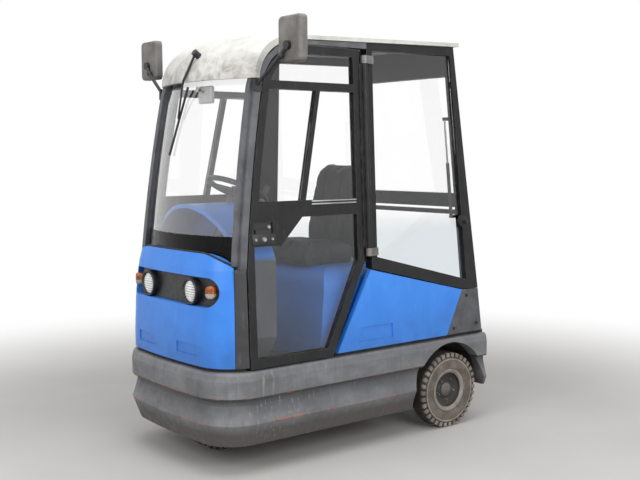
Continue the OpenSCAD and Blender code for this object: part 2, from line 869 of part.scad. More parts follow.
// Mirrors

mirror_st = 1168;
mirror_t = 42;
arm_r = 9;
arm_foot = [1240, 443, 1836];
arm_knee = [1226, 610, 1955];
module mirror_arms() {
    head = [mirror_st + mirror_t + 10, mirror_y, mirror_z - 30];
    color("#1d1e20") at_axle() both_sides() {
        bar(arm_foot, arm_knee, arm_r);
        bar(arm_knee, head, arm_r);
        translate(arm_knee) sphere(r = arm_r + 6);
        bar(head + [8, 0, 0], head - [10, 0, 0], 20);
        on_side() translate([arm_foot[0] - 22, 0, arm_foot[2] - 30]) cube([40, 14, 56]);
    }
}

module mirror_heads() {
    color("#3a3b3d") at_axle() both_sides()
        difference() {
            translate([mirror_st, mirror_y - mirror_w / 2, mirror_z - mirror_h / 2]) cube([mirror_t, mirror_w, mirror_h]);
            translate([mirror_st - 1, mirror_y - mirror_w / 2 + 8, mirror_z - mirror_h / 2 + 8])
                cube([9, mirror_w - 16, mirror_h - 16]);
        }
}

module mirror_faces() {
    color("#c9d2d6") at_axle() both_sides()
        translate([mirror_st + 2, mirror_y - mirror_w / 2 + 8.2, mirror_z - mirror_h / 2 + 8.2])
            cube([6, mirror_w - 16.4, mirror_h - 16.4]);
}

// Doors

catch_st = -116;
catch_z = 1139;
module door_catches() {
    color("#1b1c1d") at_axle() both_sides() on_side() translate([catch_st, 0, catch_z]) rotate([-90, 0, 0]) {
        cylinder(h = 16, r = 34);
        cylinder(h = 46, r = 14);
    }
}

hinge_r = 16;
hinge_out = 8;
hinge_pin_r = 8;
hinge_low = 1035;
hinge_high = 1965;
bracket_h = 40;
bracket_r = 20;
module hinge_axis(z) {
    translate([hinge_st, hinge_out, z]) children();
}
module hinge_brackets() {
    color("#4b4d50") at_axle() both_sides() on_side()
        for (z = [hinge_low - bracket_h - 3, hinge_high + 3]) difference() {
            union() {
                hinge_axis(z) cylinder(h = bracket_h, r = bracket_r);
                translate([hinge_post - 30, 0, z]) cube([hinge_st - hinge_post + 30, hinge_out + 10, bracket_h]);
            }
            hinge_axis(z - 1) cylinder(h = bracket_h + 2, r = hinge_pin_r + run_gap);
        }
}

door_rear = hinge_st + 28;
door_low_rear = 826;
door_bottom = panel_z - 9;
frame_w = 42;
module door_outline() {
    polygon(concat([[door_low_rear, door_bottom], [door_front, door_bottom]], front_pts(knee_z, door_top, 0),
        [[door_rear, door_top], [door_rear, knee_z - 10]]));
}

low_rise = (knee_z - 10 - door_bottom) / (door_rear - door_low_rear);
function rear_slope_x(z) = door_low_rear + (z - door_bottom) / low_rise;
lock_w = 200;
lock_z = 1080;
bar_low = 980;
bar_high = 872;
bar_w = 24;
module low_window() {
    z0 = door_bottom + frame_w + 4;
    polygon([[rear_slope_x(z0) + frame_w + 8, z0], [door_front - frame_w, z0], [door_front - frame_w, lock_z],
        [door_front - lock_w, lock_z], [door_front - lock_w - 130, belt_z], [door_rear + frame_w, belt_z],
        [door_rear + frame_w, knee_z]]);
}

module mid_window(rear_half) {
    z0 = belt_z + belt_h;
    z1 = divider_z - 20;
    if (rear_half)
        polygon([[door_rear + frame_w, z0], [bar_low - bar_w / 2, z0], [bar_high - bar_w / 2, z1], [door_rear + frame_w, z1]]);
    else
        polygon(concat([[bar_low + bar_w / 2, z0]], edge_pts(z0, z1, -frame_w), [[bar_high + bar_w / 2, z1]]));
}

module top_window() {
    z0 = divider_z + 20;
    z1 = door_top - frame_w;
    polygon(concat([[door_rear + frame_w, z0]], edge_pts(z0, z1, -frame_w), [[door_rear + frame_w, z1]]));
}

module door_holes() {
    low_window();
    mid_window(true);
    mid_window(false);
    top_window();
}

module door_frame() {
    difference() {
        union() {
            in_side(door_t) difference() {
                door_outline();
                door_holes();
            }
            // hinge tube with its web and end pins
            on_side() {
                hinge_axis(hinge_low) cylinder(h = hinge_high - hinge_low, r = hinge_r);
                hinge_axis(hinge_low - bracket_h) cylinder(h = hinge_high - hinge_low + 2 * bracket_h, r = hinge_pin_r);
                translate([hinge_st, -8, hinge_low]) cube([door_rear - hinge_st + 6, 14, hinge_high - hinge_low]);
            }
        }
        in_side(40, 1) lock_hollow();
    }
}

module lock_hollow() {
    translate([door_front - 150, lock_z + 24]) square([110, 90]);
}

module door_glass() {
    in_side(glass_t, -14) {
        low_window();
        mid_window(true);
        mid_window(false);
        top_window();
    }
}

module door_handle() {
    in_side(14, -8) lock_hollow();
    in_side(10, 2) translate([door_front - 140, lock_z + 56]) square([90, 24]);
}

module left_door_frame() { color(black) at_axle() door_frame(); }
module left_door_glass() { color(clear) at_axle() door_glass(); }
module left_door_handle() { color("#101112") at_axle() door_handle(); }
module right_door_frame() { color(black) at_axle() mirror([0, 1, 0]) door_frame(); }
module right_door_glass() { color(clear) at_axle() mirror([0, 1, 0]) door_glass(); }
module right_door_handle() { color("#101112") at_axle() mirror([0, 1, 0]) door_handle(); }

// Wheels

module tyre() {
    r = tyre_d / 2;
    w = tyre_w / 2;
    b = rim_d / 2;
    rotate([90, 0, 0]) rotate_extrude($fn = 96)
        polygon([[b, -w + 14], [b + 18, -w + 4], [b + 45, -w], [r - 26, -w + 2], [r - 8, -w + 8], [r, -w + 20],
            [r, w - 20], [r - 8, w - 8], [r - 26, w - 2], [b + 45, w], [b + 18, w - 4], [b, w - 14]]);
}

module rim(bore) {
    b = rim_d / 2 - 0.1;
    w = tyre_w / 2;
    rotate([-90, 0, 0]) rotate_extrude($fn = 96)
        polygon([[bore + run_gap, -hub_face], [bore + 26, -hub_face], [bore + 26, 2], [b - 16, 14], [b - 12, -w + 16], [b, -w + 14],
            [b, w - 14], [b - 8, w - 14], [b - 12, 26], [b - 34, 18], [bore + 34, 16], [bore + 20, hub_face], [bore + run_gap, hub_face]]);
}

module left_tyre() { color(rubber) at_axle() translate([0, rear_tyre_y, axle_z]) tyre(); }
module left_rim() { color(grey) at_axle() translate([0, rear_tyre_y, axle_z]) rim(stub_r); }
module right_tyre() { color(rubber) at_axle() translate([0, -rear_tyre_y, axle_z]) tyre(); }
module right_rim() { color(grey) at_axle() mirror([0, 1, 0]) translate([0, rear_tyre_y, axle_z]) rim(stub_r); }
module front_tyre() { color(rubber) at_axle() translate([wheelbase, 0, axle_z]) tyre(); }
module front_rim() { color(grey) at_axle() translate([wheelbase, 0, axle_z]) rim(stub_r); }

fork_gap = 9;
fork_t = 18;
fork_w = 86;
crown_t = 20;
module steer_fork() {
    leg = tyre_w / 2 + fork_gap;
    crown = tyre_d + 8;
    color("#3a3c3f") at_axle() translate([wheelbase, 0, 0]) {
        translate([0, 0, crown]) cylinder(h = crown_t, r = leg + fork_t + 12);
        translate([0, 0, crown + crown_t]) cylinder(h = floor_z - floor_t - crown - crown_t - 0.3, r = 60);
        translate([0, 0, crown]) cylinder(h = king_top - crown, r = king_r);
        for (s = [-1, 1]) translate([-fork_w / 2, s * (leg + fork_t / 2) - fork_t / 2, axle_z])
            cube([fork_w, fork_t, crown - axle_z + crown_t / 2]);
        for (s = [-1, 1]) translate([0, s * (leg + fork_t / 2), axle_z]) rotate([90, 0, 0])
            cylinder(h = fork_t, r = fork_w / 2, center = true);
        translate([0, 0, axle_z]) rotate([90, 0, 0]) cylinder(h = 2 * (leg + fork_t + 6), r = stub_r, center = true);
    }
}

chassis_skirt();
floor_pan();
sill_trim();
battery_block();
rear_axle();
front_cowl();
lamp_panel();
headlamp_shells();
headlamp_lenses();
turn_signals();
screen_band();
windscreen();
front_pillars();
side_frames();
quarter_glass();
side_panels();
rear_corners();
rear_header();
rear_rails();
rear_wall();
rear_glass();
roof_shell();
wiper();
seat_hood();
seat_cushion();
seat_back();
dash_console();
steering_column();
steering_wheel();
pedals();
tow_jaw();
tow_pin();
rear_lamps();
mirror_arms();
mirror_heads();
mirror_faces();
door_catches();
hinge_brackets();
steer_fork();
front_rim();
front_tyre();
left_rim();
left_tyre();
right_rim();
right_tyre();
left_door_frame();
left_door_glass();
left_door_handle();
right_door_frame();
right_door_glass();
right_door_handle();
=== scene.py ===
import math

import bmesh
import bpy
from mathutils import Matrix, Vector


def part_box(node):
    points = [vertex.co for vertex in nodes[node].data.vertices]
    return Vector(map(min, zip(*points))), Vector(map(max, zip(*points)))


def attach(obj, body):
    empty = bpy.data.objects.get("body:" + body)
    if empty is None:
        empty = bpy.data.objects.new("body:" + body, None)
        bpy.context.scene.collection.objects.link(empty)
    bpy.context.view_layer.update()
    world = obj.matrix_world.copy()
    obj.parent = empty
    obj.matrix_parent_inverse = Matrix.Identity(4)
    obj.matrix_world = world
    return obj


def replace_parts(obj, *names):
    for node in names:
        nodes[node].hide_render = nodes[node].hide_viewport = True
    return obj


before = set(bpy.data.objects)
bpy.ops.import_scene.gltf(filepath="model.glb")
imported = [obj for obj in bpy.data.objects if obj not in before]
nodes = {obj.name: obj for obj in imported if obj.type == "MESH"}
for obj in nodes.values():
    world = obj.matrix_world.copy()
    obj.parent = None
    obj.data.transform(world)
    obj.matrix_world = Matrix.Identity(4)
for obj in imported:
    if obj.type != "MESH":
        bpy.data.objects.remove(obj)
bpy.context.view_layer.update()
rearAxleX = -0.585  # the stations below run forward from the rear axle
print("frame loaded with", len(nodes), "nodes")


# camera at the photograph's place, focal length for a 36 mm sensor
shot = {"pos": (3.283, 4.227, 1.510), "yaw": 51.63, "pitch": 4.99, "roll": -0.3, "lens": 55.1}


def setCamera():
    yaw, pitch = math.radians(shot["yaw"]), math.radians(shot["pitch"])
    look = Vector((-math.cos(yaw) * math.cos(pitch), -math.sin(yaw) * math.cos(pitch), -math.sin(pitch)))
    data = bpy.data.cameras.new("photoCamera")
    data.lens = shot["lens"]
    data.sensor_width = 36.0
    camera = bpy.data.objects.new("photoCamera", data)
    turn = look.to_track_quat("-Z", "Y").to_matrix().to_4x4()
    camera.matrix_world = Matrix.Translation(shot["pos"]) @ turn @ Matrix.Rotation(math.radians(shot["roll"]), 4, "Z")
    bpy.context.scene.collection.objects.link(camera)
    bpy.context.scene.camera = camera


setCamera()
print("camera set")


# shader helpers, all on Object coordinates

def tone(hexText):
    parts = [int(hexText[i:i + 2], 16) / 255 for i in (0, 2, 4)]
    return tuple(c / 12.92 if c <= 0.04045 else ((c + 0.055) / 1.055) ** 2.4 for c in parts) + (1.0,)


def startFinish(name, roughness, metallic=0.0):
    material = bpy.data.materials.new(name)
    material.use_nodes = True
    tree = material.node_tree
    shader = tree.nodes["Principled BSDF"]
    shader.inputs["Roughness"].default_value = roughness
    shader.inputs["Metallic"].default_value = metallic
    return material, tree, shader


def grain(tree, scale, stretch=(1, 1, 1), detail=5.0, rough=0.55, twist=0.0):
    coord = tree.nodes.new("ShaderNodeTexCoord")
    mapping = tree.nodes.new("ShaderNodeMapping")
    mapping.inputs["Scale"].default_value = stretch
    noise = tree.nodes.new("ShaderNodeTexNoise")
    noise.inputs["Scale"].default_value = scale
    noise.inputs["Detail"].default_value = detail
    noise.inputs["Roughness"].default_value = rough
    noise.inputs["Distortion"].default_value = twist
    tree.links.new(coord.outputs["Object"], mapping.inputs["Vector"])
    tree.links.new(mapping.outputs["Vector"], noise.inputs["Vector"])
    return noise.outputs["Fac"]


def ramp(tree, source, stops):
    node = tree.nodes.new("ShaderNodeValToRGB")
    bar = node.color_ramp.elements
    while len(bar) < len(stops):
        bar.new(0.5)
    for element, (place, colour) in zip(bar, stops):
        element.position = place
        element.color = colour if not isinstance(colour, (int, float)) else (colour, colour, colour, 1)
    tree.links.new(source, node.inputs["Fac"])
    return node.outputs["Color"]


def feed(tree, socket, value):
    if isinstance(value, bpy.types.NodeSocket):
        tree.links.new(value, socket)
    else:
        socket.default_value = value


def blend(tree, factor, first, second):
    node = tree.nodes.new("ShaderNodeMix")
    node.data_type = "RGBA"
    feed(tree, node.inputs[0], factor)
    feed(tree, node.inputs[6], first)
    feed(tree, node.inputs[7], second)
    return node.outputs[2]


def sums(tree, operation, first, second):
    node = tree.nodes.new("ShaderNodeMath")
    node.operation = operation
    node.use_clamp = True
    feed(tree, node.inputs[0], first)
    feed(tree, node.inputs[1], second)
    return node.outputs[0]


# 1 where the surface turns within the radius, 0 on open faces
def edges(tree, radius):
    bevel = tree.nodes.new("ShaderNodeBevel")
    bevel.samples = 4
    bevel.inputs["Radius"].default_value = radius
    flat = tree.nodes.new("ShaderNodeNewGeometry")
    dot = tree.nodes.new("ShaderNodeVectorMath")
    dot.operation = "DOT_PRODUCT"
    tree.links.new(bevel.outputs["Normal"], dot.inputs[0])
    tree.links.new(flat.outputs["Normal"], dot.inputs[1])
    return ramp(tree, dot.outputs["Value"], [(0.75, 1.0), (0.985, 0.0)])


def along(tree, axis):
    coord = tree.nodes.new("ShaderNodeTexCoord")
    split = tree.nodes.new("ShaderNodeSeparateXYZ")
    tree.links.new(coord.outputs["Object"], split.inputs[0])
    return split.outputs[axis]


# runs from 0 at the first height to 1 at the second
def rise(tree, first, second):
    node = tree.nodes.new("ShaderNodeMapRange")
    node.inputs["From Min"].default_value = first
    node.inputs["From Max"].default_value = second
    tree.links.new(along(tree, "Z"), node.inputs["Value"])
    return node.outputs["Result"]


# roughness that changes from patch to patch
def mottle(tree, shader, scale, detail, low, high):
    patches = ramp(tree, grain(tree, scale, detail=detail), [(0.3, low), (0.7, high)])
    tree.links.new(patches, shader.inputs["Roughness"])


def bump(tree, shader, source, strength, distance):
    node = tree.nodes.new("ShaderNodeBump")
    node.inputs["Strength"].default_value = strength
    node.inputs["Distance"].default_value = distance
    tree.links.new(source, node.inputs["Height"])
    tree.links.new(node.outputs["Normal"], shader.inputs["Normal"])


# band of height in which an edge is rubbed through
def nearHeight(tree, place, reach):
    offset = tree.nodes.new("ShaderNodeMath")
    offset.operation = "SUBTRACT"
    tree.links.new(along(tree, "Z"), offset.inputs[0])
    offset.inputs[1].default_value = place
    size = tree.nodes.new("ShaderNodeMath")
    size.operation = "ABSOLUTE"
    tree.links.new(offset.outputs[0], size.inputs[0])
    return ramp(tree, size.outputs[0], [(reach * 0.5, 1.0), (reach, 0.0)])


# finishes

# heights of the skirt's edges and hollow, and the stretch of its length that is most worn
skirtLook = {"ledge": 0.247, "cove": 0.31, "band": 0.374, "worn": (0.2, 0.62, 0.86)}
# heights between which one look goes over into another, and the height that parts the signal's colours
looks = {"grime": (0.72, 0.51), "leaning": (0.96, 1.02), "dashCover": (1.00, 1.03), "moss": (2.02, 1.87),
         "greyPane": (1.19, 1.10), "signalSplit": 0.864}


def bluePlastic():
    material, tree, shader = startFinish("bluePlastic", 0.38)
    cloud = grain(tree, 3.2, detail=4)
    body = ramp(tree, cloud, [(0.3, tone("2f7ad8")), (0.7, tone("3d8bea"))])
    scuff = ramp(tree, grain(tree, 30, (1, 1, 0.25), detail=8, rough=0.7), [(0.60, 0.0), (0.78, 0.35)])
    worn = blend(tree, scuff, body, tone("76aef0"))
    grime = sums(tree, "MULTIPLY", rise(tree, *looks["grime"]), grain(tree, 14, detail=6))
    tree.links.new(blend(tree, grime, worn, tone("2c5b9c")), shader.inputs["Base Color"])
    mottle(tree, shader, 60, 4, 0.32, 0.48)
    bump(tree, shader, grain(tree, 420, detail=2), 0.05, 0.001)
    return material


def framePaint():
    material, tree, shader = startFinish("framePaint", 0.5)
    shader.inputs["Specular IOR Level"].default_value = 0.3
    body = ramp(tree, grain(tree, 9, detail=6), [(0.35, tone("141415")), (0.7, tone("212123"))])
    rub = ramp(tree, grain(tree, 38, (1, 1, 0.2), detail=7, rough=0.68), [(0.58, 0.0), (0.75, 0.55)])
    worn = blend(tree, rub, body, tone("4a413c"))
    spots = ramp(tree, grain(tree, 26, detail=6), [(0.45, 0.0), (0.62, 0.9)])
    chips = sums(tree, "MULTIPLY", edges(tree, 0.004), spots)
    tree.links.new(blend(tree, chips, worn, tone("77706a")), shader.inputs["Base Color"])
    mottle(tree, shader, 20, 5, 0.38, 0.62)
    bump(tree, shader, grain(tree, 300, detail=3), 0.08, 0.001)
    return material


def skirtPaint():
    material, tree, shader = startFinish("skirtPaint", 0.6)
    ledge, cove, band = skirtLook["ledge"], skirtLook["cove"], skirtLook["band"]
    body = ramp(tree, grain(tree, 4, (1, 1, 1.6), detail=7, rough=0.62),
                [(0.28, tone("525356")), (0.5, tone("68696d")), (0.75, tone("828386"))])
    # painted shade with a brown dirt tint: the downward-facing flank below the ledge is painted darker brown-grey
    flankShadeAndDirt = sums(tree, "MULTIPLY", rise(tree, ledge, ledge - 0.05), 0.9)
    shadedDirtyFlank = blend(tree, flankShadeAndDirt, body, tone("4a4643"))
    # painted shade: the cove under the band's overhang is painted darker towards the band, standing in for the shadow
    # the band casts
    underBand = sums(tree, "LESS_THAN", along(tree, "Z"), band + 0.001)
    shade = sums(tree, "MULTIPLY", rise(tree, cove - 0.035, band - 0.004), underBand)
    shaded = blend(tree, sums(tree, "MULTIPLY", shade, 0.9), shadedDirtyFlank, tone("303032"))
    drag = ramp(tree, grain(tree, 60, (1, 1, 0.09), detail=6, rough=0.72), [(0.57, 0.0), (0.70, 0.6)])
    corner = ramp(tree, along(tree, "X"), list(zip(skirtLook["worn"], (0.2, 1.0, 0.15))))
    scratched = blend(tree, sums(tree, "MULTIPLY", drag, corner), shaded, tone("b5b0a6"))
    dark = ramp(tree, grain(tree, 18, (1, 1, 0.12), detail=5), [(0.56, 0.0), (0.75, 0.6)])
    streaked = blend(tree, dark, scratched, tone("47484a"))
    edgeLines = sums(tree, "ADD", nearHeight(tree, band, 0.007), nearHeight(tree, ledge, 0.008))
    rubbed = sums(tree, "ADD", edgeLines, edges(tree, 0.008))
    spots = ramp(tree, grain(tree, 7, detail=7, rough=0.7), [(0.5, 0.0), (0.62, 0.8)])
    chips = sums(tree, "MULTIPLY", rubbed, spots)
    primer = ramp(tree, grain(tree, 60, detail=4), [(0.35, tone("6b4436")), (0.65, tone("a9684c"))])
    tree.links.new(blend(tree, chips, streaked, primer), shader.inputs["Base Color"])
    mottle(tree, shader, 24, 5, 0.34, 0.62)
    bump(tree, shader, grain(tree, 55, (1, 1, 0.1), detail=6), 0.12, 0.002)
    return material


def pillarFinish():
    material, tree, shader = startFinish("pillarSkin", 0.45)
    cloud = grain(tree, 12, detail=6)
    post = ramp(tree, cloud, [(0.35, tone("252628")), (0.7, tone("343538"))])
    # painted highlight: above the knee the leaning pillar takes a lighter grey copy of the post's near-black,
    # standing in for light on its faces
    leaning = ramp(tree, cloud, [(0.35, tone("4e4f53")), (0.7, tone("67686c"))])
    body = blend(tree, rise(tree, *looks["leaning"]), post, leaning)
    rub = ramp(tree, grain(tree, 40, (1, 1, 0.15), detail=7, rough=0.68), [(0.6, 0.0), (0.78, 0.5)])
    tree.links.new(blend(tree, rub, body, tone("7b7671")), shader.inputs["Base Color"])
    mottle(tree, shader, 40, 4, 0.34, 0.56)
    bump(tree, shader, grain(tree, 220, detail=3), 0.08, 0.001)
    return material


def dashFinish():
    material, tree, shader = startFinish("dashPlastic", 0.42)
    cloud = grain(tree, 6, detail=5)
    cover = ramp(tree, cloud, [(0.3, tone("2f7ad8")), (0.7, tone("3d8bea"))])
    shell = ramp(tree, cloud, [(0.3, tone("3b3d41")), (0.7, tone("54565a"))])
    tree.links.new(blend(tree, rise(tree, *looks["dashCover"]), shell, cover), shader.inputs["Base Color"])
    mottle(tree, shader, 60, 4, 0.32, 0.5)
    bump(tree, shader, grain(tree, 420, detail=2), 0.06, 0.001)
    return material


def rubberFinish(name, dark, dusty, dustAmount):
    material, tree, shader = startFinish(name, 0.8)
    dust = ramp(tree, grain(tree, 16, detail=7, rough=0.65), [(0.42, 0.0), (0.72, dustAmount)])
    tree.links.new(blend(tree, dust, tone(dark), tone(dusty)), shader.inputs["Base Color"])
    mottle(tree, shader, 45, 4, 0.7, 0.92)
    bump(tree, shader, grain(tree, 240, detail=3), 0.12, 0.001)
    return material


def plasticFinish(name, dark, light, roughness, grainScale=260, grainDepth=0.1):
    material, tree, shader = startFinish(name, roughness)
    body = ramp(tree, grain(tree, 12, detail=6), [(0.35, tone(dark)), (0.7, tone(light))])
    tree.links.new(body, shader.inputs["Base Color"])
    mottle(tree, shader, 40, 4, roughness - 0.1, roughness + 0.12)
    bump(tree, shader, grain(tree, grainScale, detail=3), grainDepth, 0.001)
    return material


def steelFinish(name, dark, light, roughness, metallic):
    material, tree, shader = startFinish(name, roughness, metallic)
    body = ramp(tree, grain(tree, 14, detail=7, rough=0.6), [(0.3, tone(dark)), (0.72, tone(light))])
    rust = ramp(tree, grain(tree, 22, detail=8, rough=0.7), [(0.60, 0.0), (0.74, 0.6)])
    tree.links.new(blend(tree, rust, body, tone("6b4a38")), shader.inputs["Base Color"])
    mottle(tree, shader, 30, 5, roughness - 0.1, roughness + 0.15)
    bump(tree, shader, grain(tree, 160, detail=4), 0.12, 0.001)
    return material


def roofFinish():
    material, tree, shader = startFinish("roofSkin", 0.5)
    body = ramp(tree, grain(tree, 5, detail=7, rough=0.65),
                [(0.3, tone("b9b8b3")), (0.55, tone("cfcec9")), (0.75, tone("dddcd7"))])
    moss = ramp(tree, grain(tree, 15, detail=8, rough=0.7, twist=0.6), [(0.42, 0.0), (0.72, 0.85)])
    gathered = sums(tree, "MULTIPLY", moss, sums(tree, "ADD", rise(tree, *looks["moss"]), 0.25))
    tree.links.new(blend(tree, gathered, body, tone("6d675e")), shader.inputs["Base Color"])
    mottle(tree, shader, 30, 5, 0.35, 0.6)
    bump(tree, shader, grain(tree, 120, detail=5), 0.12, 0.001)
    return material


def glassFinish(name, tint, lowTint, haze, gloss):
    material, tree, shader = startFinish(name, 0.02)
    shader.inputs["IOR"].default_value = gloss
    shader.inputs["Transmission Weight"].default_value = 1.0
    # painted reflection: below the given height the pane takes the lower tint, a grey standing in for the reflected
    # veil on the lower door glass
    pane = blend(tree, rise(tree, *looks["greyPane"]), tone(tint), tone(lowTint))
    tree.links.new(pane, shader.inputs["Base Color"])
    smear = ramp(tree, grain(tree, 5, detail=6), [(0.4, 0.0), (0.75, haze)])
    tree.links.new(smear, shader.inputs["Roughness"])
    return material


def mirrorGlass():
    material, tree, shader = startFinish("mirrorGlass", 0.03, 1.0)
    shader.inputs["Base Color"].default_value = tone("dfe5e8")
    smear = ramp(tree, grain(tree, 30, detail=5), [(0.4, 0.02), (0.8, 0.12)])
    tree.links.new(smear, shader.inputs["Roughness"])
    return material


def signalFinish():
    material, tree, shader = startFinish("signalLens", 0.15)
    shader.inputs["Transmission Weight"].default_value = 0.25
    shader.inputs["IOR"].default_value = 1.49
    upper = sums(tree, "GREATER_THAN", along(tree, "Z"), looks["signalSplit"])
    amber = ramp(tree, grain(tree, 60, detail=3), [(0.35, tone("8a4212")), (0.65, tone("c06a20"))])
    tree.links.new(blend(tree, upper, tone("b9b6b0"), amber), shader.inputs["Base Color"])
    return material


def lensFinish(name, colour, roughness, transmission):
    material, tree, shader = startFinish(name, roughness)
    shader.inputs["Transmission Weight"].default_value = transmission
    shader.inputs["IOR"].default_value = 1.49
    light = tone(colour)
    shade = tuple(c * 0.8 for c in light[:3]) + (1,)
    tree.links.new(ramp(tree, grain(tree, 50, detail=3), [(0.35, shade), (0.65, light)]), shader.inputs["Base Color"])
    return material


finish = {
    "blue": bluePlastic(),
    "frame": framePaint(),
    "skirt": skirtPaint(),
    "rubber": rubberFinish("rubberTrim", "1b1b1c", "4b4846", 0.5),
    "tyre": rubberFinish("tyreRubber", "24211f", "4a443f", 0.6),
    "tread": rubberFinish("treadRubber", "6a625b", "a0968c", 0.9),
    "sidewall": rubberFinish("sidewallRubber", "57504a", "7f766e", 0.9),
    "black": plasticFinish("blackPlastic", "141516", "222326", 0.45),
    "panel": plasticFinish("darkPanel", "404145", "58595d", 0.5),
    "lampBlack": plasticFinish("lampBlack", "0e0f10", "1b1c1e", 0.4),
    "band": plasticFinish("screenBand", "050505", "0a0a0b", 0.25, 30, 0.01),
    "steel": steelFinish("darkSteel", "26282a", "3d4043", 0.55, 0.2),
    "pin": steelFinish("bareSteel", "77787a", "a5a6a8", 0.38, 0.9),
    "rim": steelFinish("rimPaint", "242221", "3d3a37", 0.6, 0.05),
    "battery": plasticFinish("batteryCase", "2f3134", "45484c", 0.6),
    "roof": roofFinish(),
    "mirrorShell": plasticFinish("mirrorShell", "5c5956", "7c7874", 0.5),
    "glass": glassFinish("clearGlass", "ffffff", "f1f4f5", 0.03, 1.45),
    "screen": glassFinish("screenGlass", "ffffff", "ffffff", 0.05, 1.8),
    "lens": lensFinish("clearLens", "ffffff", 0.10, 0.05),
    "amber": signalFinish(),
    "red": lensFinish("redLens", "a51d17", 0.15, 0.2),
    "seat": plasticFinish("seatCover", "1b1b1c", "343435", 0.62, 520, 0.25),
    "pillar": pillarFinish(),
    "paleShell": plasticFinish("paleShell", "c6c6c3", "dcdcd9", 0.4),
    "dash": dashFinish(),
    "collar": steelFinish("hingeCollar", "5c5a58", "8a8784", 0.45, 0.5),
    "alloy": steelFinish("alloyStrip", "8f8d8b", "b8b6b3", 0.4, 0.6),
    "flange": steelFinish("rimFlange", "726d67", "98928a", 0.55, 0.1),
    "nut": steelFinish("wheelNut", "4d4a47", "7b7773", 0.5, 0.5),
    "tyreLine": rubberFinish("tyreLine", "8a8178", "b9afa4", 0.9),
    "rib": lensFinish("lensRib", "9ea3a6", 0.2, 0.05),
    "mirror": mirrorGlass(),
}
bandShader = finish["band"].node_tree.nodes["Principled BSDF"]
bandShader.inputs["Specular IOR Level"].default_value = 0.12  # keeps the band black under the lights

nodeFinish = {
    "blue": ["front_cowl", "side_panels", "seat_hood"],
    "dash": ["dash_console"],
    "pillar": ["front_pillars"],
    "frame": ["side_frames", "rear_header", "rear_rails", "left_door_frame", "right_door_frame", "floor_pan"],
    "skirt": ["chassis_skirt"],
    "rubber": ["sill_trim", "pedals", "door_catches"],
    "tyre": ["front_tyre", "left_tyre", "right_tyre"],
    "black": ["wiper", "steering_column", "steering_wheel", "mirror_arms", "left_door_handle", "right_door_handle"],
    "panel": ["rear_corners", "rear_wall"],
    "lampBlack": ["lamp_panel", "headlamp_shells"],
    "band": ["screen_band"],
    "steel": ["rear_axle", "steer_fork", "tow_jaw"],
    "collar": ["hinge_brackets"],
    "pin": ["tow_pin"],
    "rim": ["front_rim", "left_rim", "right_rim"],
    "battery": ["battery_block"],
    "roof": ["roof_shell"],
    "mirrorShell": ["mirror_heads"],
    "mirror": ["mirror_faces"],
    "glass": ["quarter_glass", "rear_glass", "left_door_glass", "right_door_glass"],
    "screen": ["windscreen"],
    "lens": ["headlamp_lenses"],
    "amber": ["turn_signals"],
    "red": ["rear_lamps"],
    "seat": ["seat_cushion", "seat_back"],
}
for name, members in nodeFinish.items():
    for member in members:
        nodes[member].data.materials.clear()
        nodes[member].data.materials.append(finish[name])
print("finishes on", sum(len(members) for members in nodeFinish.values()), "nodes")


# helpers for new pieces

cabSide = {"lean": 2.3, "halfWidth": 0.488, "foot": 0.498}  # leaning outer face of the cab's left side
faceOut = Matrix.Rotation(math.radians(-90), 4, "X")  # turns a piece's top outwards to the left
toRight = Matrix.Scale(-1, 4, (0, 1, 0))


def addPiece(name, mesh, material, body, sharp=38):
    bmesh.ops.recalc_face_normals(mesh, faces=mesh.faces)
    data = bpy.data.meshes.new(name)
    mesh.to_mesh(data)
    mesh.free()
    data.shade_smooth()
    data.set_sharp_from_angle(angle=math.radians(sharp))
    data.materials.append(finish[material])
    piece = bpy.data.objects.new(name, data)
    bpy.context.scene.collection.objects.link(piece)
    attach(piece, body)
    return piece


def onSide(station, out, height):
    place = Matrix.Translation((rearAxleX, cabSide["halfWidth"], cabSide["foot"]))
    lean = Matrix.Rotation(math.radians(cabSide["lean"]), 4, "X")
    return place @ lean @ Matrix.Translation((station, out, height - cabSide["foot"]))


def block(mesh, place, size, edge, steps=2):
    made = bmesh.ops.create_cube(mesh, size=1.0, matrix=place @ Matrix.Diagonal((*size, 1.0)))
    border = list({side for vert in made["verts"] for side in vert.link_edges})
    bmesh.ops.bevel(mesh, geom=border, offset=edge, affect="EDGES", segments=steps, profile=0.5, material=-1)


def turned(mesh, place, profile, steps):
    made = [mesh.verts.new((radius, 0, height)) for radius, height in profile]
    strip = [mesh.edges.new(pair) for pair in zip(made, made[1:])]
    if profile[0][0] > 0:  # a ring closes on itself, a cap ends at its two poles
        strip.append(mesh.edges.new((made[-1], made[0])))
    bmesh.ops.spin(mesh, geom=made + strip, axis=(0, 0, 1), cent=(0, 0, 0), dvec=(0, 0, 0), angle=math.tau,
                   steps=steps, use_merge=True, use_duplicate=False)
    fresh = [vert for vert in mesh.verts if not vert.tag]
    bmesh.ops.remove_doubles(mesh, verts=fresh, dist=1e-6)
    fresh = [vert for vert in mesh.verts if not vert.tag]
    bmesh.ops.transform(mesh, matrix=place, verts=fresh)
    for vert in fresh:
        vert.tag = True


def shifted(radius, seat, side, shape):
    return [(radius + across, seat + side * out) for across, out in shape]


def headOf(mesh, place, radius, height, sides, hollow):
    made = bmesh.ops.create_cone(mesh, cap_ends=True, segments=sides, radius1=radius, radius2=radius * 0.84,
                                 depth=height, matrix=place @ Matrix.Translation((0, 0, height / 2)))
    inside = place.inverted()
    caps = {face for vert in made["verts"] for face in vert.link_faces}
    bmesh.ops.recalc_face_normals(mesh, faces=list(caps))  # a mirrored place turns them inwards
    top = max(caps, key=lambda face: (inside @ face.calc_center_median()).z)
    bmesh.ops.inset_individual(mesh, faces=[top], thickness=radius * 0.34, depth=hollow)
    for vert in mesh.verts:
        vert.tag = True


